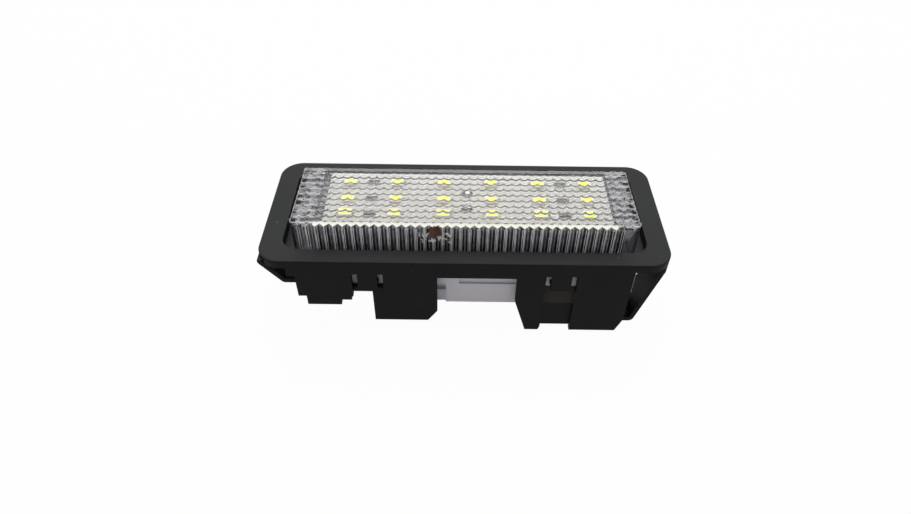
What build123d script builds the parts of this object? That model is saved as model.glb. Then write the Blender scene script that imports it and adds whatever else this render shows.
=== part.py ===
from build123d import *
import os

# Car interior dome light, lens up. Millimetres, +Z up, the origin under the middle of the part, level with
# the feet that it rests on. Every "drop" is a depth below the top face of the flange.

os.makedirs("parts", exist_ok=True)

# Flange and recess of the bezel
bezel_length = 110.7
bezel_width = 43.2
bezel_corner = 6.2
top_face = 26.4
flange_thickness = 2.6
rim_round = 0.4
end_rim = 5.95
side_rim = 4.8
opening_length = bezel_length - 2 * end_rim
opening_width = bezel_width - 2 * side_rim
opening_corner = 4.5
recess_depth = 3.2
recess_wall = 1.6
shelf_thickness = 1.2
end_ledge = 9.4
side_ledge = 7.0
shelf_opening_length = opening_length - 2 * end_ledge
shelf_opening_width = opening_width - 2 * side_ledge

# Skirt: the front wall is a rail with legs of different lengths, the rear wall is plain
skirt_wall = 1.6
web_setback = 1.0
rail_drop = 5.5
rail_left_gap = 7.65
rail_right_gap = 10.0
leg_one_gap = 9.8
foot_one_inset = 2.2
leg_one_drop = 13.2
foot_one_width = 9.4
foot_one_drop = 16.6
foot_step_width = 3.0
foot_step_drop = 14.6
leg_two_left = 25.2
leg_two_drop = 24.0
leg_two_cut = 2.7
leg_two_cut_height = 4.0
pad_drop = 14.7
pad_step_left = 15.4
pad_step_drop = 18.6
access_left = 7.4
access_right = 14.2
leg_three_knee_drop = 14.7
leg_three_toe = 19.6
leg_three_toe_width = 3.8
leg_four_cut = 1.7
leg_four_cut_height = 4.6
web_drop = 25.0
rear_access_half = 12.0

# Latch fingers, the same on both walls
latch_offset = 26.2
finger_width = 5.3
finger_drop = 10.1
slot_width = 1.6
slot_top_drop = 4.5
finger_gap = 0.6
bridge_drop = 12.0
ramp_top_drop = 10.9
ramp_drop = 15.7
barb_depth = 1.1
barb_height = 1.5
barb_clearance = 0.25

# Bent straps between the ends of the flange and the feet of the skirt: three long ones and a short one
strap_thickness = 1.3
strap_width = 9.4
strap_bend = 1.5
long_strap_gap = 2.0
long_strap_inset = 0.6
long_knee_drop = 5.7
long_lean = 6.0
long_foot_drop = 26.2
heel_length = 3.0
heel_height = 4.0
short_strap_inset = 0.2
short_knee_drop = 2.2
short_lean = 5.95
short_foot_drop = 9.6
short_foot_overlap = 1.0

# Rib that stands on the shelf in front of the board, behind the flutes of the lens
rib_thickness = 1.2
rib_board_gap = 0.5
rib_rise = 2.1
rib_overhang = 2.5

# Lens
lens_end_gap = 3.0
lens_front_gap = 0.3
lens_back_gap = 0.5
lens_length = opening_length - 2 * lens_end_gap
lens_front = opening_width / 2 - lens_front_gap
lens_back = opening_width / 2 - lens_back_gap
lens_front_lean = 0.5
lens_back_lean = 6.5
lens_back_wall_height = 1.4
lens_rise_front = 7.5
lens_rise_back = 6.9
lens_corner = 3.3
lens_wall = 1.5
lens_front_wall = 2.3
flute_pitch = 2.38
flute_width = 2.24
flute_depth = 1.15
flute_margin = 0.6
top_flute_width = 2.1
top_flute_depth = 0.22
prism_pitch = 1.35
prism_width = 1.25
prism_root = 0.4
prism_depth = 0.32
prism_margin = 1.2
gate_left = 8.0
gate_inset = 1.0
gate_radius = 2.2
gate_tip = 0.9
gate_rise = 3.8
gate_height = 3.0

# White tray that carries the board
tray_left_gap = 11.35
tray_right_gap = 8.15
tray_clearance = 0.25
tray_wall = 1.5
tray_drop = 14.2
tray_corner = 2.0
post_diameter = 4.0
post_spacing_x = 30.0
post_spacing_y = 14.0
panel_recess = 0.6
panel_left = 1.4
panel_right = 15.0
panel_top_drop = 6.4
panel_drop = 10.6
notch_right = 5.1
notch_width = 4.2
notch_top_drop = 10.7
notch_drop = 13.6
well_left = 9.6
well_cavity_left = 3.2
well_right = 17.2
well_back = 5.0
well_drop = 18.0
well_wall = 1.4
well_roof_drop = 9.0

# Board and what is soldered to it
board_end_gap = 6.9
board_side_gap = 4.8
board_thickness = 1.2
board_rise = 2.9
board_shift = 0.7
led_length = 3.5
led_width = 2.8
led_height = 0.8
led_corner = 0.3
led_columns = 6
led_end_margin = 6.0
led_row_shares = (0.287, -0.026, -0.291)
phosphor_length = 3.0
phosphor_width = 2.35
phosphor_depth = 0.35
chip_length = 3.2
chip_width = 1.6
chip_height = 0.55
chip_cap = 0.5
chip_cap_proud = 0.05
pin_side = 0.9
pin_places = (2.0, -4.1)
pin_clearance = 0.1
pin_stand = 0.8
pin_reach = 6.0
solder_radius = 1.7
solder_tip = 0.75
solder_height = 0.6

front_face = bezel_width / 2
rail_left = bezel_length / 2 - rail_left_gap
rail_right = bezel_length / 2 - rail_right_gap
leg_one_left = bezel_length / 2 - leg_one_gap
foot_one_left = leg_one_left - foot_one_inset
flange_under = top_face - flange_thickness
shelf_top = top_face - recess_depth
shelf_under = shelf_top - shelf_thickness
window_half = finger_width / 2 + slot_width
tray_length = bezel_length - tray_left_gap - tray_right_gap
tray_shift = (tray_left_gap - tray_right_gap) / 2
tray_half_width = front_face - web_setback - skirt_wall - tray_clearance
tray_top = shelf_under
tray_foot = top_face - tray_drop
tray_floor = tray_foot + tray_wall
well_roof = top_face - well_roof_drop + tray_wall
pin_foot = well_roof - tray_wall - pin_reach
board_length = lens_length - 2 * board_end_gap
board_width = 2 * (lens_back - board_side_gap)
board_top = top_face + board_rise
board_under = board_top - board_thickness
led_pitch = (board_length - 2 * led_end_margin) / (led_columns - 1)
led_row_places = [share * board_width for share in led_row_shares]


def level(drop):
    """Height of a place that lies this far below the top face."""
    return top_face - drop


def panel(left, right, low, high, mode=Mode.ADD):
    """Rectangle of the open sketch, by its edges."""
    with Locations(((left + right) / 2, (low + high) / 2)):
        Rectangle(right - left, high - low, mode=mode)


def latch_slots(place):
    """The two slots beside a latch finger."""
    for side in (-1, 1):
        left = place + side * (finger_width + slot_width) / 2 - slot_width / 2
        panel(left, left + slot_width, level(finger_drop), level(slot_top_drop), Mode.SUBTRACT)


def latch_barb(place, wall_plane, inward):
    """Wedge on the inner side of a finger, which snaps into a pocket of the tray."""
    barb_top = level(finger_drop) + barb_height
    reach = web_setback + tray_clearance + barb_depth
    with BuildSketch(Plane.YZ.offset(place - finger_width / 2)) as wedge:
        with BuildLine():
            root = wall_plane + inward * skirt_wall
            Polyline(
                (root - inward * skirt_wall / 2, level(finger_drop)),
                (root, level(finger_drop)),
                (root + inward * reach, barb_top),
                (root - inward * skirt_wall / 2, barb_top),
                close=True,
            )
        make_face()
    extrude(wedge.sketch, amount=finger_width)


def strap(side, front, face, end, knee_drop, reach, foot_drop, foot_end):
    """Band from one end of the flange, down and inwards to a foot behind the wall of the skirt."""
    inner_side = Side.RIGHT if side > 0 else Side.LEFT
    with BuildSketch(Plane.XZ.offset(front * face)) as band:
        with BuildLine():
            FilletPolyline(
                (side * end, flange_under + flange_thickness / 2),
                (side * end, level(knee_drop)),
                (side * reach, level(foot_drop)),
                (side * foot_end, level(foot_drop)),
                radius=strap_bend,
            )
            offset(amount=strap_thickness, side=inner_side)
        make_face()
    extrude(band.sketch, amount=-front * strap_width)


def long_strap(side, front):
    """Strap that reaches the feet, with a heel that ties it to the wall."""
    wall_inside = front_face - skirt_wall
    foot_end = rail_right - leg_four_cut - heel_length
    strap(
        side, front, wall_inside - long_strap_gap, bezel_length / 2 - long_strap_inset,
        long_knee_drop, bezel_length / 2 - long_lean, long_foot_drop, foot_end,
    )
    with BuildSketch(Plane.XZ.offset(front * wall_inside)) as heel:
        ends = sorted((side * foot_end, side * (foot_end + heel_length)))
        panel(ends[0], ends[1], level(long_foot_drop), level(long_foot_drop) + heel_height)
    extrude(heel.sketch, amount=-front * (long_strap_gap + strap_thickness))


# Bezel frame: flange, recess, shelf, skirt, latch fingers and straps in one moulding
with BuildPart() as bezel_frame:
    with BuildSketch(Plane.XY.offset(flange_under)):
        RectangleRounded(bezel_length, bezel_width, bezel_corner)
    extrude(amount=flange_thickness)
    rim = bezel_frame.faces().sort_by(Axis.Z)[-1].outer_wire().edges()
    fillet(rim, rim_round)
    with BuildSketch(Plane.XY.offset(shelf_under)):
        RectangleRounded(
            opening_length + 2 * recess_wall, opening_width + 2 * recess_wall, opening_corner + recess_wall
        )
    extrude(amount=flange_under - shelf_under)
    with BuildSketch(Plane.XY.offset(top_face)):
        RectangleRounded(opening_length, opening_width, opening_corner)
    extrude(amount=-recess_depth, mode=Mode.SUBTRACT)
    with BuildSketch(Plane.XY.offset(shelf_top)):
        Rectangle(shelf_opening_length, shelf_opening_width)
    extrude(amount=-shelf_thickness, mode=Mode.SUBTRACT)
    with BuildSketch(Plane.XY.offset(shelf_top)):
        rib_back = -board_width / 2 - rib_board_gap
        rib_half = board_length / 2 + rib_overhang
        panel(board_shift - rib_half, board_shift + rib_half, rib_back - rib_thickness, rib_back)
    extrude(amount=board_top + rib_rise - shelf_top)

    # Front wall: rail, legs and fingers, flush with the rim
    leg_one_right = -latch_offset - window_half
    leg_three_right = latch_offset - window_half
    leg_four_left = latch_offset + window_half
    with BuildSketch(Plane.XZ.offset(front_face)):
        panel(-rail_left, rail_right, level(rail_drop), flange_under)
        panel(-leg_one_left, leg_one_right, level(leg_one_drop), level(rail_drop))
        foot_one_right = -foot_one_left + foot_one_width
        panel(-foot_one_left, foot_one_right, level(foot_one_drop), level(leg_one_drop))
        panel(foot_one_right, foot_one_right + foot_step_width, level(foot_step_drop), level(leg_one_drop))
        for place in (-latch_offset, latch_offset):
            panel(place - finger_width / 2, place + finger_width / 2, level(finger_drop), level(rail_drop))
        panel(-latch_offset + window_half, -access_left, level(pad_drop), level(rail_drop))
        panel(-pad_step_left, -access_left, level(pad_step_drop), level(pad_drop))
        with BuildLine():
            Polyline(
                (access_right, level(rail_drop)),
                (access_right, level(leg_three_knee_drop)),
                (leg_three_toe - leg_three_toe_width / 2, 0),
                (leg_three_toe + leg_three_toe_width / 2, 0),
                (leg_three_right, level(web_drop)),
                (leg_three_right, level(rail_drop)),
                close=True,
            )
        make_face()
        with BuildLine():
            Polyline(
                (leg_four_left, level(rail_drop)),
                (leg_four_left, 0),
                (rail_right - leg_four_cut, 0),
                (rail_right, leg_four_cut_height),
                (rail_right, level(rail_drop)),
                close=True,
            )
        make_face()
        for place in (-latch_offset, latch_offset):
            latch_slots(place)
    extrude(amount=-skirt_wall)

    # Webs set back behind the front face: bridge, second leg and the wall under the right-hand finger
    with BuildSketch(Plane.XZ.offset(front_face - web_setback)):
        bridge_top = level(finger_drop) - finger_gap
        panel(leg_one_right - skirt_wall, -leg_two_left + skirt_wall, level(bridge_drop), bridge_top)
        with BuildLine():
            Polyline(
                (-leg_two_left, bridge_top),
                (-leg_two_left, level(leg_two_drop)),
                (-access_left - leg_two_cut, level(leg_two_drop)),
                (-access_left, level(leg_two_drop) + leg_two_cut_height),
                (-access_left, bridge_top),
                close=True,
            )
        make_face()
        panel(leg_three_right - skirt_wall, leg_four_left + skirt_wall, level(web_drop), level(ramp_drop))
    extrude(amount=-skirt_wall)
    with BuildSketch(Plane.YZ.offset(leg_three_right - skirt_wall)):
        with BuildLine():
            ramp_front = web_setback - front_face
            Polyline(
                (ramp_front, level(ramp_drop)),
                (ramp_front + skirt_wall, level(ramp_drop)),
                (ramp_front + skirt_wall, level(ramp_top_drop)),
                close=True,
            )
        make_face()
    extrude(amount=2 * window_half + 2 * skirt_wall)

    # Rear wall: plain, with an access cut-out and the same latches
    with BuildSketch(Plane.XZ.offset(-front_face)):
        panel(-rail_right, rail_right, 0, flange_under)
        panel(-rear_access_half, rear_access_half, 0, level(rail_drop), Mode.SUBTRACT)
        for place in (-latch_offset, latch_offset):
            latch_slots(place)
            gap_top = level(finger_drop)
            panel(place - window_half, place + window_half, gap_top - finger_gap, gap_top, Mode.SUBTRACT)
    extrude(amount=skirt_wall)

    for place in (-latch_offset, latch_offset):
        latch_barb(place, -front_face, 1)
        latch_barb(place, front_face, -1)
    for side, front in ((1, 1), (1, -1), (-1, -1)):
        long_strap(side, front)
    strap(
        -1, 1, front_face - skirt_wall, bezel_length / 2 - short_strap_inset,
        short_knee_drop, bezel_length / 2 - short_lean, short_foot_drop, leg_one_left - short_foot_overlap,
    )
bezel_frame.part.label = "bezel_frame"
export_step(bezel_frame.part, "parts/bezel_frame.step")

# Lens: a clear cap on the shelf, with a sloping back, fluted in front and prismatic on top
lens_foot = shelf_top
front_top = top_face + lens_rise_front
back_top = top_face + lens_rise_back
back_knee = top_face + lens_back_wall_height
top_front_y = -lens_front + lens_front_lean
lens_top_back = lens_back - lens_back_lean
flute_run = lens_length - 2 * (lens_corner + flute_margin)
flute_count = int(flute_run / flute_pitch)
top_slope = Vector(0, lens_top_back - top_front_y, back_top - front_top).normalized()
front_slope = Vector(0, lens_front_lean, front_top - lens_foot).normalized()
with BuildPart() as lens:
    with BuildSketch(Plane.YZ):
        with BuildLine():
            Polyline(
                (-lens_front, lens_foot),
                (top_front_y, front_top),
                (lens_top_back, back_top),
                (lens_back, back_knee),
                (lens_back, lens_foot),
                close=True,
            )
        make_face()
    extrude(amount=lens_length / 2, both=True)
    fillet(lens.edges().filter_by(Axis.Z), lens_corner)
    with BuildSketch(Plane.YZ):
        with BuildLine():
            Polyline(
                (-lens_front + lens_front_wall, lens_foot),
                (top_front_y + lens_front_wall, front_top - lens_wall),
                (lens_top_back - lens_wall, back_top - lens_wall),
                (lens_back - lens_wall, back_knee - lens_wall / 2),
                (lens_back - lens_wall, lens_foot),
                close=True,
            )
        make_face()
    extrude(amount=lens_length / 2 - lens_wall, both=True, mode=Mode.SUBTRACT)
    with BuildSketch(Plane.XY.offset(lens_foot)):
        with Locations((0, -lens_front)):
            with GridLocations(flute_pitch, 1, flute_count, 1):
                Polygon((-flute_width / 2, 0), (flute_width / 2, 0), (0, flute_depth), align=None)
    extrude(amount=2 * (front_top - lens_foot), dir=front_slope, mode=Mode.SUBTRACT)
    with BuildSketch(Plane.XY.offset(lens_foot)):
        with Locations((0, lens_front_wall - lens_front)):
            with GridLocations(flute_pitch, 1, flute_count + 1, 1):
                Polygon((-flute_width / 2, 0), (0, -flute_depth), (flute_width / 2, 0), align=None)
    extrude(amount=front_top - lens_wall - lens_foot, dir=front_slope, mode=Mode.SUBTRACT)
    across = Plane(origin=(0, top_front_y, front_top), x_dir=(1, 0, 0), z_dir=-top_slope)
    with BuildSketch(across):
        with GridLocations(flute_pitch, 1, flute_count, 1):
            Polygon((-top_flute_width / 2, 0), (0, -top_flute_depth), (top_flute_width / 2, 0), align=None)
    extrude(amount=-(lens_top_back - top_front_y), mode=Mode.SUBTRACT)
    inside_front = top_front_y + lens_front_wall + prism_margin
    inside_back = lens_top_back - lens_wall - prism_margin
    prism_rows = int((inside_back - inside_front) / prism_pitch)
    inside_middle = Vector(0, top_front_y, front_top - lens_wall) + top_slope * (
        (inside_front + inside_back) / 2 - top_front_y
    )
    along = Plane(origin=inside_middle, x_dir=top_slope, z_dir=(1, 0, 0))
    with BuildSketch(along):
        with GridLocations(prism_pitch, 1, prism_rows, 1):
            with Locations((0, prism_root / 2)):
                Rectangle(prism_width, prism_root)
            Polygon((-prism_width / 2, 0), (0, -prism_depth), (prism_width / 2, 0), align=None)
    extrude(amount=lens_length / 2 - lens_wall, both=True)
    with Locations((-gate_left, gate_inset - lens_front, top_face + gate_rise)):
        Cone(gate_radius, gate_tip, gate_height, align=(Align.CENTER, Align.CENTER, Align.MIN))
lens.part.label = "lens"
export_step(lens.part, "parts/lens.step")

# Tray: open white box under the shelf, with posts for the board and a connector well let into its floor
with BuildPart() as lamp_tray:
    with BuildSketch(Plane.XY.offset(tray_foot)):
        with Locations((tray_shift, 0)):
            RectangleRounded(tray_length, 2 * tray_half_width, tray_corner)
    extrude(amount=tray_top - tray_foot)
    with BuildSketch(Plane.XY.offset(tray_floor)):
        with Locations((tray_shift, 0)):
            Rectangle(tray_length - 2 * tray_wall, 2 * (tray_half_width - tray_wall))
    extrude(amount=tray_top - tray_floor, mode=Mode.SUBTRACT)
    with BuildSketch(Plane.XY.offset(level(well_drop))):
        panel(-well_left, well_right, -tray_half_width, well_back)
    extrude(amount=well_roof - level(well_drop))
    with BuildSketch(Plane.XY.offset(level(well_drop))):
        panel(-well_cavity_left, well_right - well_wall, tray_wall - tray_half_width, well_back - well_wall)
    extrude(amount=well_roof - tray_wall - level(well_drop), mode=Mode.SUBTRACT)
    with BuildSketch(Plane.XY.offset(tray_floor)):
        with GridLocations(post_spacing_x, post_spacing_y, 3, 2):
            Circle(post_diameter / 2)
    extrude(amount=board_under - tray_floor)
    pocket_low = level(finger_drop) - barb_clearance
    pocket_high = level(finger_drop) + barb_height + barb_clearance
    for front in (-1, 1):
        with BuildSketch(Plane.XZ.offset(-front * tray_half_width)):
            for place in (-latch_offset, latch_offset):
                half = finger_width / 2 + barb_clearance
                panel(place - half, place + half, pocket_low, pocket_high)
        extrude(amount=front * tray_wall, mode=Mode.SUBTRACT)
    with BuildSketch(Plane.XZ.offset(tray_half_width)):
        panel(-panel_left, panel_right, level(panel_drop), level(panel_top_drop))
        panel(-notch_right - notch_width, -notch_right, level(well_drop), level(notch_drop))
    extrude(amount=-panel_recess, mode=Mode.SUBTRACT)
    with BuildSketch(Plane.XZ.offset(tray_half_width)):
        panel(-notch_right - notch_width, -notch_right, level(notch_drop), level(notch_top_drop))
    extrude(amount=-tray_wall, mode=Mode.SUBTRACT)
    with BuildSketch(Plane.XY.offset(well_roof)):
        with Locations(*[(board_shift, place) for place in pin_places]):
            Rectangle(pin_side, pin_side)
    extrude(amount=-tray_wall, mode=Mode.SUBTRACT)
lamp_tray.part.label = "lamp_tray"
export_step(lamp_tray.part, "parts/lamp_tray.step")

# Board: white, on the tray's posts, with two square holes for the feed pins
with BuildPart() as circuit_board:
    with BuildSketch(Plane.XY.offset(board_under)):
        with Locations((board_shift, 0)):
            Rectangle(board_length, board_width)
        with Locations(*[(board_shift, place) for place in pin_places]):
            Rectangle(pin_side + 2 * pin_clearance, pin_side + 2 * pin_clearance, mode=Mode.SUBTRACT)
    extrude(amount=board_thickness)
circuit_board.part.label = "circuit_board"
export_step(circuit_board.part, "parts/circuit_board.step")

# LEDs: a white package with a filled cup, numbered by row from the back and by column from the left
for row, row_place in enumerate(led_row_places, 1):
    for column in range(1, led_columns + 1):
        led_x = board_shift + (column - (led_columns + 1) / 2) * led_pitch
        led_name = f"led_{row}{column}"
        with BuildPart() as led:
            with BuildSketch(Plane.XY.offset(board_top)):
                with Locations((led_x, row_place)):
                    Rectangle(led_length, led_width)
            extrude(amount=led_height)
            mark_side = (led_x - led_length, row_place - led_width, board_top)
            chamfer(led.edges().filter_by(Axis.Z).sort_by_distance(mark_side)[0], led_corner)
            with BuildSketch(Plane.XY.offset(board_top + led_height)):
                with Locations((led_x, row_place)):
                    Rectangle(phosphor_length, phosphor_width)
            extrude(amount=-phosphor_depth, mode=Mode.SUBTRACT)
        led.part.label = led_name
        export_step(led.part, f"parts/{led_name}.step")
        with BuildPart() as phosphor:
            with BuildSketch(Plane.XY.offset(board_top + led_height)):
                with Locations((led_x, row_place)):
                    Rectangle(phosphor_length, phosphor_width)
            extrude(amount=-phosphor_depth)
        phosphor.part.label = f"phosphor_{row}{column}"
        export_step(phosphor.part, f"parts/phosphor_{row}{column}.step")

# Chip parts: one beside each end LED of a row, with metal end caps a little proud of the body
chip_number = 0
for row_place in led_row_places:
    for side in (-1, 1):
        chip_number += 1
        chip_x = board_shift + side * (led_columns / 2 - 1) * led_pitch
        with BuildPart() as chip:
            with BuildSketch(Plane.XY.offset(board_top)):
                with Locations((chip_x, row_place)):
                    Rectangle(chip_length, chip_width)
            extrude(amount=chip_height)
            with BuildSketch(Plane.XY.offset(board_top)):
                with Locations((chip_x, row_place)):
                    with GridLocations(chip_length - chip_cap, 1, 2, 1):
                        Rectangle(chip_cap, chip_width + 2 * chip_cap_proud)
            extrude(amount=chip_height + chip_cap_proud)
        chip.part.label = f"chip_{chip_number}"
        export_step(chip.part, f"parts/chip_{chip_number}.step")

# Feed pins through the tray floor and the board, and the solder that holds them
for number, pin_place in enumerate(pin_places, 1):
    with BuildPart() as feed_pin:
        with BuildSketch(Plane.XY.offset(pin_foot)):
            with Locations((board_shift, pin_place)):
                Rectangle(pin_side, pin_side)
        extrude(amount=board_top + pin_stand - pin_foot)
    feed_pin.part.label = f"feed_pin_{number}"
    export_step(feed_pin.part, f"parts/feed_pin_{number}.step")
    with BuildPart() as solder:
        with Locations((board_shift, pin_place, board_top)):
            Cone(solder_radius, solder_tip, solder_height, align=(Align.CENTER, Align.CENTER, Align.MIN))
            Box(
                pin_side, pin_side, solder_height,
                align=(Align.CENTER, Align.CENTER, Align.MIN), mode=Mode.SUBTRACT,
            )
    solder.part.label = f"solder_{number}"
    export_step(solder.part, f"parts/solder_{number}.step")
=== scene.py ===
import bmesh
import bpy
from mathutils import Matrix, Vector


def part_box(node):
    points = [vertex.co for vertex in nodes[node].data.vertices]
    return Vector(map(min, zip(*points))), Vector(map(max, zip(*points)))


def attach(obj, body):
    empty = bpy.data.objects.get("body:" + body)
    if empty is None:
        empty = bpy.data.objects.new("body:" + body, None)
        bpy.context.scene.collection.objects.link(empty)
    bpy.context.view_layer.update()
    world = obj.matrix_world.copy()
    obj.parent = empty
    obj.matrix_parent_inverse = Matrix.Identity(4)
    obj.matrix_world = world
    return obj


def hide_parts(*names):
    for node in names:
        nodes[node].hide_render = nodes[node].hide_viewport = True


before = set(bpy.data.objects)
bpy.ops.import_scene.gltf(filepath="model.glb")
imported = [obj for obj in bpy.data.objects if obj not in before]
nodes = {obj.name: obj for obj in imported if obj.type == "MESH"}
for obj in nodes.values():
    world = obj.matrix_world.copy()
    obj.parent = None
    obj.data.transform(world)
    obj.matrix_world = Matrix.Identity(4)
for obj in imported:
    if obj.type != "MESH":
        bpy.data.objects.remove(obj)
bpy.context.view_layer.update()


# Bezel frame: the flange with its lens opening, the skirt, the latch fingers and the straps.
# One injection moulding in black ABS, spark-textured on the outside, which is snapped into
# the roof console and carries everything else.
class Signal:
    """One value in a finish's node tree; sums, differences, products and comparisons of it add Math nodes."""

    def __init__(self, tree, socket):
        self.tree = tree
        self.socket = socket

    def math(self, operation, first, second):
        node = self.tree.nodes.new("ShaderNodeMath")
        node.operation = operation
        for place, value in enumerate((first, second)):
            feed(self.tree, node.inputs[place], value)
        return Signal(self.tree, node.outputs[0])

    def __add__(self, other):
        return self.math("ADD", self, other)

    __radd__ = __add__

    def __sub__(self, other):
        return self.math("SUBTRACT", self, other)

    def __rsub__(self, other):
        return self.math("SUBTRACT", other, self)

    def __mul__(self, other):
        return self.math("MULTIPLY", self, other)

    __rmul__ = __mul__

    def __gt__(self, other):
        return self.math("GREATER_THAN", self, other)

    def __lt__(self, other):
        return self.math("LESS_THAN", self, other)

    def fraction(self):
        return self.math("FLOORED_MODULO", self, 1.0)

    def size(self):
        return self.math("ABSOLUTE", self, 0.0)

    def capped(self):
        return self.math("MINIMUM", self, 1.0)


def feed(tree, entry, value):
    """Gives a node's input a link or a plain value."""
    if isinstance(value, Signal):
        tree.links.new(value.socket, entry)
    elif isinstance(value, (tuple, list)) and len(value) == 3 and entry.type == "RGBA":
        entry.default_value = (*value, 1.0)
    else:
        entry.default_value = value


class Finish:
    """A material under construction: node() adds a node, cover() makes a shader the surface."""

    def __init__(self, name):
        self.material = bpy.data.materials.new(name)
        self.material.use_nodes = True
        self.tree = self.material.node_tree
        self.tree.nodes.clear()

    def node(self, kind, settings=None, inputs=None, output=0):
        made = self.tree.nodes.new(kind)
        for key, value in (settings or {}).items():
            if key == "stops":
                ramp = made.color_ramp
                while len(ramp.elements) < len(value):
                    ramp.elements.new(1.0)
                for stop, (place, shade) in zip(ramp.elements, value):
                    stop.position = place
                    stop.color = (*shade, 1.0)
            else:
                setattr(made, key, value)
        for key, value in (inputs or {}).items():
            feed(self.tree, made.inputs[key], value)
        return Signal(self.tree, made.outputs[output])

    def blend(self, share, first, second):
        """Colour that goes from first to second as share goes from 0 to 1."""
        inputs = {0: share, 6: first, 7: second}
        return self.node("ShaderNodeMix", {"data_type": "RGBA"}, inputs, 2)

    def axes(self, vector):
        """The three parts of a vector, one signal each."""
        outputs = self.node("ShaderNodeSeparateXYZ", {}, {0: vector}).socket.node.outputs
        return [Signal(self.tree, outputs[axis]) for axis in range(3)]

    def spot(self):
        """Place on the part in metres."""
        return self.node("ShaderNodeTexCoord", output=3)

    def facing_up(self, limit):
        """1 where the surface looks upwards, by the height of its normal."""
        return self.axes(self.node("ShaderNodeNewGeometry", output=1))[2] > limit

    def cover(self, shader):
        """Makes a shader the surface of the material."""
        out = self.tree.nodes.new("ShaderNodeOutputMaterial")
        self.tree.links.new(shader.socket, out.inputs[0])
        return self.material


def dress(names, material):
    """Gives CAD nodes a finish."""
    for name in names:
        piece = nodes[name]
        piece.data.materials.clear()
        piece.data.materials.append(material)


shell = Finish("satin_black_shell")
grain = shell.node("ShaderNodeTexNoise", {}, {"Vector": shell.spot(), "Scale": 2600.0, "Detail": 2.0})
drift = shell.node("ShaderNodeTexNoise", {}, {"Vector": shell.spot(), "Scale": 60.0, "Detail": 3.0})
specks = shell.node("ShaderNodeTexVoronoi", {}, {"Vector": shell.spot(), "Scale": 260.0})
pick = shell.node("ShaderNodeTexNoise", {}, {"Vector": shell.spot(), "Scale": 90.0, "Detail": 1.0})
dust = (specks < 0.05) * (pick > 0.6)
shell_tone = shell.blend(drift, (0.009, 0.009, 0.010), (0.014, 0.014, 0.015))
# Painted sheen: faces that look upwards get a lighter base colour, standing in for the sheen of light on the
# top of the bezel.
painted_sheen_tone = shell.blend(drift, (0.029, 0.030, 0.031), (0.040, 0.041, 0.042))
shell_tone = shell.blend(shell.facing_up(0.6), shell_tone, painted_sheen_tone)
shell_x, shell_y, shell_z = shell.axes(shell.spot())
# Painted light and shade: the ramp below the right-hand latch gets a brownish tone instead of the black of the
# plastic, standing in for how light falls on it there.
ramp = (shell_x > 0.0219) * (shell_x < 0.0305) * (shell_y < -0.0185)
ramp = ramp * (shell_z > 0.0106) * (shell_z < 0.0156)
shell_tone = shell.blend(ramp, shell_tone, (0.052, 0.047, 0.040))
shell_tone = shell.blend(dust * 0.35, shell_tone, (0.35, 0.34, 0.33))
shell_relief = shell.node("ShaderNodeBump", {}, {"Strength": 0.22, "Distance": 0.0001, "Height": grain})
shell_surface = shell.node("ShaderNodeBsdfPrincipled", {}, {
    "Base Color": shell_tone,
    "Roughness": 0.46 + grain * 0.14,
    "Specular IOR Level": 0.06,
    "Normal": shell_relief,
})
dress(["bezel_frame"], shell.cover(shell_surface))


# Lamp tray: the white box under the shelf that carries the board on posts and holds the connector.
# Moulded in white polypropylene, satin, and snapped in by the four latch fingers.
tray = Finish("white_tray_plastic")
tray_drift = tray.node("ShaderNodeTexNoise", {}, {"Vector": tray.spot(), "Scale": 45.0, "Detail": 3.0})
tray_grain = tray.node("ShaderNodeTexNoise", {}, {"Vector": tray.spot(), "Scale": 3000.0})
tray_surface = tray.node("ShaderNodeBsdfPrincipled", {}, {
    "Base Color": tray.blend(tray_drift, (0.62, 0.60, 0.65), (0.72, 0.70, 0.75)),
    "Roughness": 0.38 + tray_drift * 0.1,
    "Normal": tray.node("ShaderNodeBump", {}, {"Strength": 0.1, "Distance": 0.0001, "Height": tray_grain}),
})
dress(["lamp_tray"], tray.cover(tray_surface))


# Circuit board: glass-epoxy laminate under white solder mask, with bare pads beside the LEDs.
# It lies on the posts of the tray and is held by the soldered feed pins.
board = Finish("white_solder_mask")
board_drift = board.node("ShaderNodeTexNoise", {}, {"Vector": board.spot(), "Scale": 70.0, "Detail": 3.0})
board_x, board_y = board.axes(board.spot())[:2]
led_pitch = 0.0134
beside = (((board_x - 0.0007) * (1 / led_pitch)).fraction() - 0.5).size() * led_pitch
pads = (beside > 0.0017) * (beside < 0.0026)
in_rows = 0.0
for row in (0.0066, -0.0006, -0.0067):
    in_rows = in_rows + ((board_y - row).size() < 0.0009)
blot = board.node("ShaderNodeTexNoise", {}, {"Vector": board.spot(), "Scale": 700.0})
pads = pads * in_rows * (blot > 0.5) * 0.85
board_tone = board.blend(board_drift, (0.44, 0.435, 0.37), (0.51, 0.505, 0.44))
board_surface = board.node("ShaderNodeBsdfPrincipled", {}, {
    "Base Color": board.blend(pads, board_tone, (0.05, 0.045, 0.04)),
    "Roughness": 0.35,
})
dress(["circuit_board"], board.cover(board_surface))


# LEDs: moulded white packages of 3.5 by 2.8 mm with an open cup on top.
# They are soldered to the board in three rows of six.
led_names = [name for name in nodes if name.startswith("led_")]
led_case = Finish("led_package")
led_drift = led_case.node("ShaderNodeTexNoise", {}, {"Vector": led_case.spot(), "Scale": 900.0})
led_surface = led_case.node("ShaderNodeBsdfPrincipled", {}, {
    "Base Color": led_case.blend(led_drift, (0.80, 0.80, 0.74), (0.88, 0.88, 0.82)),
    "Roughness": 0.4,
})
dress(led_names, led_case.cover(led_surface))


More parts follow.
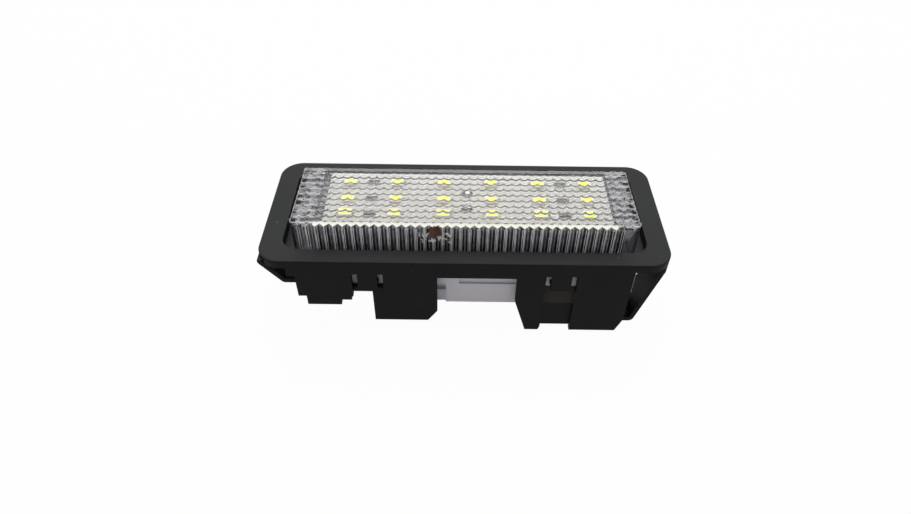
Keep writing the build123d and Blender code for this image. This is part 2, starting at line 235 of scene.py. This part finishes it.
# Phosphor: the yellow silicone that turns the light of each LED white.
# It is poured into the cup and cured there, level with the package.
phosphor_names = [name for name in nodes if name.startswith("phosphor_")]
phosphor = Finish("led_phosphor")
phosphor_drift = phosphor.node("ShaderNodeTexNoise", {}, {"Vector": phosphor.spot(), "Scale": 700.0})
phosphor_surface = phosphor.node("ShaderNodeBsdfPrincipled", {}, {
    "Base Color": phosphor.blend(phosphor_drift, (0.86, 0.86, 0.015), (0.93, 0.93, 0.035)),
    "Roughness": 0.3,
})
dress(phosphor_names, phosphor.cover(phosphor_surface))


# Chip parts: black resistors on fired ceramic, with tinned ends.
# They are soldered to the board beside the end LEDs of each row.
chip_names = [name for name in nodes if name.startswith("chip_")]
chip = Finish("chip_part")
chip_drift = chip.node("ShaderNodeTexNoise", {}, {"Vector": chip.spot(), "Scale": 1200.0})
chip_surface = chip.node("ShaderNodeBsdfPrincipled", {}, {
    "Base Color": chip.blend(chip_drift, (0.015, 0.015, 0.016), (0.04, 0.04, 0.04)),
    "Roughness": 0.45,
})
dress(chip_names, chip.cover(chip_surface))


# Feed pins and their solder: tinned brass pins pressed through the floor of the tray, and the
# bright cone of solder that joins each to the board.
pin_names = [name for name in nodes if name.startswith("feed_pin")]
solder_names = [name for name in nodes if name.startswith("solder")]
tin = Finish("tinned_metal")
tin_drift = tin.node("ShaderNodeTexNoise", {}, {"Vector": tin.spot(), "Scale": 1500.0})
tin_surface = tin.node("ShaderNodeBsdfPrincipled", {}, {
    "Base Color": tin.blend(tin_drift, (0.50, 0.50, 0.48), (0.66, 0.65, 0.63)),
    "Metallic": 1.0,
    "Roughness": 0.25 + tin_drift * 0.2,
})
dress(pin_names, tin.cover(tin_surface))
solder = Finish("dull_solder")
solder_drift = solder.node("ShaderNodeTexNoise", {}, {"Vector": solder.spot(), "Scale": 900.0})
solder_surface = solder.node("ShaderNodeBsdfPrincipled", {}, {
    "Base Color": solder.blend(solder_drift, (0.10, 0.10, 0.10), (0.32, 0.32, 0.31)),
    "Metallic": 1.0,
    "Roughness": 0.3 + solder_drift * 0.2,
})
dress(solder_names, solder.cover(solder_surface))


# Lens: the clear cap on the shelf, moulded in acrylic, with upright flutes in front and a pillow
# pattern on top that hides the single LEDs. It is welded to the shelf; the brown half-dome in the
# front wall is the mark of the gate that it was moulded through.
mm = 0.001
lens_low, lens_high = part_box("lens")
lens_foot = lens_low.z
lens_top_front = lens_high.z
lens_top_back = lens_top_front - 0.6 * mm
lens_half = lens_high.x
lens_front = -16.5 * mm
lens_back = lens_high.y
lens_lean = 0.5 * mm
lens_knee = lens_foot + 4.6 * mm
lens_ridge = lens_back - 6.5 * mm
corner = 3.3 * mm
flute_pitch = 2.38 * mm
flute_depth = 1.15 * mm
flute_end = 17.5 * flute_pitch
pillow_row = 2.45 * mm
pillow_height = 0.24 * mm
pillow_dome = 0.12 * mm
pillow_step = 0.16
scale_arc = 0.38
gate_spot = (-8.0 * mm, -16.0 * mm, 32.0 * mm)
edge_round = 0.7 * mm
samples = 8


def zigzag(x):
    """Depth of the flutes at a place along the lens, 0 at a crest and 1 at a root."""
    if x > flute_end or x < -flute_end - flute_pitch:
        return 0.0
    turn = (x / flute_pitch) % 1.0
    return 1.0 - 2.0 * min(turn, 1.0 - turn)


def pillow(x, y):
    """Depth below the top: curved scales in rows, each a low dome that falls off at its near edge."""
    across = 2.0 * ((x / flute_pitch + 0.5) % 1.0) - 1.0
    along = (y / pillow_row - scale_arc * across * across) % 1.0
    if along < pillow_step:
        fall = along / pillow_step
        depth = 1.0 - fall
    else:
        depth = (along - pillow_step) / (1.0 - pillow_step)
    return pillow_height * depth + pillow_dome * across * across


def lens_profile(x, inset):
    """Section of the lens at x, from the front foot over the top to the back foot."""
    beyond = max(0.0, abs(x) - (lens_half - corner))
    round_off = corner - (corner ** 2 - min(beyond, corner) ** 2) ** 0.5
    groove = flute_depth * zigzag(x)
    foot_y = lens_front + round_off + groove
    top_y = lens_front + lens_lean + round_off + groove
    points = []
    wall = 1.15 * mm if inset else 0.0
    lid = 1.3 * mm if inset else 0.0
    for step in range(5):
        share = step / 4
        height = lens_foot + (lens_top_front - lid - lens_foot) * share
        points.append((foot_y + (top_y - foot_y) * share + wall, height))
    ridge = lens_ridge - (wall if inset else 0.0)
    start = top_y + wall
    rows = 12 if inset else 19 * 9
    for step in range(1, rows + 1):
        share = step / rows
        y = start + (ridge - start) * share
        height = lens_top_front + (lens_top_back - lens_top_front) * share - lid
        if not inset:
            near_end = max(0.0, abs(x) - (lens_half - edge_round))
            height -= edge_round - (edge_round ** 2 - near_end ** 2) ** 0.5
            height -= pillow(x, y) * min(1.0, 12 * (1 - share)) * min(1.0, 20 * share)
        points.append((y, height))
    back_y = lens_back - round_off - wall
    ridge_z = points[-1][1]
    for step in range(1, 5):
        share = step / 4
        points.append((ridge + (back_y - ridge) * share, ridge_z + (lens_knee - lid - ridge_z) * share))
    points.append((back_y, lens_foot))
    return points


def lens_skin(inset):
    """Points of the outer or the inner skin, one section for each place along the lens."""
    half = lens_half - (1.5 * mm if inset else 0.0)
    count = int(lens_half * 2 / flute_pitch * samples)
    places = [flute_pitch / samples * step for step in range(-count // 2, count // 2 + 1)]
    ends = [half - edge_round * share for share in (0.75, 0.4, 0.15, 0.0)]
    middle = [place for place in places if abs(place) < half - edge_round]
    places = [-place for place in ends[::-1]] + middle + ends
    return [[(x, *point) for point in lens_profile(x, inset)] for x in places]


def closed_shell(outer, inner):
    """Lays out the faces of two skins of sections and closes each skin at both ends; the foot between the
    skins is joined afterwards.
    """
    points = []
    faces = []
    tables = []
    for skin in (outer, inner):
        table = []
        for section in skin:
            table.append(list(range(len(points), len(points) + len(section))))
            points.extend(section)
        tables.append(table)
    for table, flip in ((tables[0], False), (tables[1], True)):
        for left, right in zip(table, table[1:]):
            for low in range(len(left) - 1):
                face = (left[low], right[low], right[low + 1], left[low + 1])
                faces.append(face[::-1] if flip else face)
        faces.append(tuple(table[0]) if not flip else tuple(table[0][::-1]))
        faces.append(tuple(table[-1][::-1]) if not flip else tuple(table[-1]))
    return points, faces, tables


outer_skin = lens_skin(False)
inner_skin = lens_skin(True)
lens_points, lens_faces, lens_tables = closed_shell(outer_skin, inner_skin)
outer_foot = [[section[0] for section in lens_tables[0]], [section[-1] for section in lens_tables[0]]]
inner_foot = [[section[0] for section in lens_tables[1]], [section[-1] for section in lens_tables[1]]]


def foot_strip(outside, inside, flip):
    """Faces under one long wall: the sections of the two skins are matched by their place along the lens."""
    place = 0
    for step in range(len(outside) - 1):
        limit = lens_points[outside[step + 1]][0] + 1e-6
        while place < len(inside) - 1 and lens_points[inside[place + 1]][0] <= limit:
            face = (outside[step], inside[place], inside[place + 1])
            lens_faces.append(face[::-1] if flip else face)
            place += 1
        face = (outside[step], inside[place], outside[step + 1])
        lens_faces.append(face[::-1] if flip else face)
    while place < len(inside) - 1:
        face = (outside[-1], inside[place], inside[place + 1])
        lens_faces.append(face[::-1] if flip else face)
        place += 1


foot_strip(outer_foot[0], inner_foot[0], False)
foot_strip(outer_foot[1], inner_foot[1], True)
for end, flip in ((0, False), (-1, True)):
    face = (outer_foot[0][end], outer_foot[1][end], inner_foot[1][end], inner_foot[0][end])
    lens_faces.append(face[::-1] if flip else face)
lens_mesh = bpy.data.meshes.new("fluted_lens")
lens_mesh.from_pydata(lens_points, [], lens_faces)
shape = bmesh.new()
shape.from_mesh(lens_mesh)
bmesh.ops.recalc_face_normals(shape, faces=shape.faces)
shape.to_mesh(lens_mesh)
shape.free()
lens_piece = bpy.data.objects.new("fluted_lens", lens_mesh)
bpy.context.scene.collection.objects.link(lens_piece)

lens = Finish("clear_acrylic")
spot = lens.spot()
place_x, place_y, place_z = lens.axes(spot)
speckle = lens.node("ShaderNodeTexNoise", {}, {"Vector": spot, "Scale": 420.0, "Detail": 2.0})
turn = (place_x * (1 / flute_pitch)).fraction()
across = 2.0 * (place_x * (1 / flute_pitch) + 0.5).fraction() - 1.0
along = (place_y * (1 / pillow_row) - scale_arc * across * across).fraction()
top_fall = (lens_top_front - lens_top_back) / (lens_ridge - lens_front)
top_level = lens_top_front - (place_y - lens_front) * top_fall
edge_line = lens_front + lens_lean + flute_depth * (2.0 * turn - 1.0).size()
on_top = (place_z > top_level - 0.5 * mm) * (place_y > edge_line + 0.02 * mm)
on_front = (place_y < lens_front + 1.9 * mm) * (1.0 - on_top)
over_board = on_top * (place_x.size() < 40.0 * mm)
# Painted reflection: a bright cream strip along the front edge of the top, over the board, standing in for the
# white board seen reflected inside the lens.
reflected_board_strip = (place_y < lens_front + 2.6 * mm) * over_board
# Painted shade and highlight: thin lines along the steps of the pillow scales, dark grey over the board and
# light grey beyond its ends, standing in for light bent at the steps.
painted_scale_line = on_top * (along < pillow_step) * (0.1 + speckle * 0.9) * (1.0 - reflected_board_strip)
# Painted highlights: light vertical lines on the crests of the flutes and fainter ones in their roots,
# standing in for reflections on the flutes.
crest = (turn > 0.45) * (turn < 0.55)
root = ((turn < 0.06) + (turn > 0.94)).capped()
fluted = on_front * (place_x < flute_end) * (place_x > -flute_end - flute_pitch)
flute_highlight = fluted * (crest + root * 0.35) * (0.2 + speckle * 1.3)
# Painted highlight: a light line along both short top edges of the lens.
end_edge_highlight = (place_x.size() > lens_half - 0.35 * mm) * on_top * 0.7
gate_reach = lens.node("ShaderNodeVectorMath", {"operation": "DISTANCE"}, {0: spot, 1: gate_spot}, 1)
# Painted glints: small white flecks on the front wall beside the gate mark.
glint = lens.node("ShaderNodeTexNoise", {}, {"Vector": spot, "Scale": 1000.0})
gate = gate_reach < 2.0 * mm
near_gate = ((place_x - gate_spot[0]).size() < 4.3 * mm) * on_front * (1.0 - gate)
sparkle = near_gate * (place_z < 31.4 * mm) * (place_z > 28.3 * mm) * (glint > 0.57)
# Painted reflection: light grey flecks on the top beyond the ends of the board.
painted_end_reflection = (on_top - over_board) * (speckle > 0.5) * 0.3
# Painted light: the glass is mixed with a diffuse surface in the painted tones below wherever the painted
# lines, strips, flecks and glints above fall; the same mix carries the brown gate mark, which is the lens's
# own colour.
painted_light_and_gate_mix = (painted_end_reflection + painted_scale_line + reflected_board_strip * 0.95 + flute_highlight + end_edge_highlight + gate + sparkle).capped()
painted_light_and_gate_tone = lens.blend(over_board, (0.72, 0.71, 0.74), (0.22, 0.22, 0.22))
painted_light_and_gate_tone = lens.blend(on_front, painted_light_and_gate_tone, (0.92, 0.91, 0.94))
painted_light_and_gate_tone = lens.blend(reflected_board_strip, painted_light_and_gate_tone, (0.90, 0.89, 0.81))
painted_light_and_gate_tone = lens.blend(gate, painted_light_and_gate_tone, lens.blend(speckle, (0.05, 0.025, 0.014), (0.17, 0.085, 0.05)))
painted_light_and_gate_tone = lens.blend(sparkle, painted_light_and_gate_tone, (0.95, 0.95, 0.95))
lens_glass = lens.node("ShaderNodeBsdfPrincipled", {}, {
    "Base Color": lens.blend(gate, (0.95, 0.945, 0.965), (0.42, 0.25, 0.17)),
    "Roughness": 0.03,
    "IOR": 1.49,
    "Specular IOR Level": 0.3,
    "Transmission Weight": 1.0,
})
lens_painted_light_and_gate = lens.node("ShaderNodeBsdfPrincipled", {}, {"Base Color": painted_light_and_gate_tone, "Roughness": 0.5})
lens_body = lens.node("ShaderNodeMixShader", {}, {0: painted_light_and_gate_mix, 1: lens_glass, 2: lens_painted_light_and_gate})
lens_pass = lens.node("ShaderNodeBsdfTransparent", {}, {"Color": (0.92, 0.92, 0.93)})
shadow_ray = lens.node("ShaderNodeLightPath", output=1)
lens_surface = lens.node("ShaderNodeMixShader", {}, {0: shadow_ray, 1: lens_body, 2: lens_pass})
lens_mesh.materials.append(lens.cover(lens_surface))
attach(lens_piece, "root")
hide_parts("lens")


# Floor and light: a plain white table under a soft overhead light.
floor_half = 2.0
floor_mesh = bpy.data.meshes.new("floor")
floor_mesh.from_pydata(
    [(x * floor_half, y * floor_half, 0) for x, y in ((-1, -1), (1, -1), (1, 1), (-1, 1))], [], [(0, 1, 2, 3)],
)
floor = bpy.data.objects.new("floor", floor_mesh)
bpy.context.scene.collection.objects.link(floor)
floor.location.z = -0.0002
white = Finish("white_table")
white_plain = white.node("ShaderNodeBsdfPrincipled", {}, {"Base Color": (0.8, 0.8, 0.8), "Roughness": 0.8})
white_glow = white.node("ShaderNodeEmission", {}, {"Color": (1, 1, 1), "Strength": 1.0})
seen = white.node("ShaderNodeLightPath", output=0)
mirrored = white.node("ShaderNodeLightPath", output=3)
passed = white.node("ShaderNodeLightPath", output=6)
share = (seen + mirrored + passed) * 0.97
white_surface = white.node("ShaderNodeMixShader", {}, {0: share, 1: white_plain, 2: white_glow})
floor_mesh.materials.append(white.cover(white_surface))

world = bpy.data.worlds.new("studio")
bpy.context.scene.world = world
world.use_nodes = True
sky = world.node_tree.nodes["Background"]
sky.inputs["Color"].default_value = (1.0, 1.0, 1.0, 1.0)
sky.inputs["Strength"].default_value = 0.25
backdrop = world.node_tree.nodes.new("ShaderNodeBackground")
backdrop.inputs["Strength"].default_value = 1.0
backdrop.inputs["Color"].default_value = (1.0, 1.0, 1.0, 1.0)
seen_sky = world.node_tree.nodes.new("ShaderNodeLightPath")
either = world.node_tree.nodes.new("ShaderNodeMixShader")
world.node_tree.links.new(seen_sky.outputs["Is Camera Ray"], either.inputs[0])
world.node_tree.links.new(sky.outputs[0], either.inputs[1])
world.node_tree.links.new(backdrop.outputs[0], either.inputs[2])
world.node_tree.links.new(either.outputs[0], world.node_tree.nodes["World Output"].inputs[0])


def soft_box(name, place, target, size, power):
    """A square lamp that faces a target."""
    lamp = bpy.data.lights.new(name, "AREA")
    lamp.shape = "RECTANGLE"
    lamp.size = size[0]
    lamp.size_y = size[1]
    lamp.energy = power
    holder = bpy.data.objects.new(name, lamp)
    bpy.context.scene.collection.objects.link(holder)
    holder.location = place
    holder.rotation_euler = (Vector(target) - Vector(place)).to_track_quat("-Z", "Y").to_euler()


soft_box("overhead", (0.0, 0.1, 0.75), (0.0, 0.0, 0.02), (0.7, 0.5), 2.0)
soft_box("window", (0.0, 0.62, 0.66), (0.0, 0.0, 0.02), (0.9, 0.5), 5.5)
soft_box("front_fill", (-0.35, -0.6, 0.45), (0.0, 0.0, 0.02), (0.5, 0.5), 0.4)


# Camera: at the photograph's viewing angle, above the front of the lamp.
view = bpy.data.cameras.new("view")
view.sensor_width = 36.0
view.sensor_fit = "HORIZONTAL"
view.lens = 26.56
view.clip_start = 0.005
camera = bpy.data.objects.new("view", view)
bpy.context.scene.collection.objects.link(camera)
side = Vector((0.9999, 0.0080, 0.0100)).normalized()
ahead = Vector((0.0012, 0.7132, -0.7009)).normalized()
ahead = (ahead - side * ahead.dot(side)).normalized()
above = side.cross(ahead)
turn = Matrix((side, above, -ahead)).transposed()
camera.matrix_world = Matrix.Translation((-0.00271, -0.14587, 0.15103)) @ turn.to_4x4()
bpy.context.scene.camera = camera
bpy.context.scene.view_settings.view_transform = "Standard"
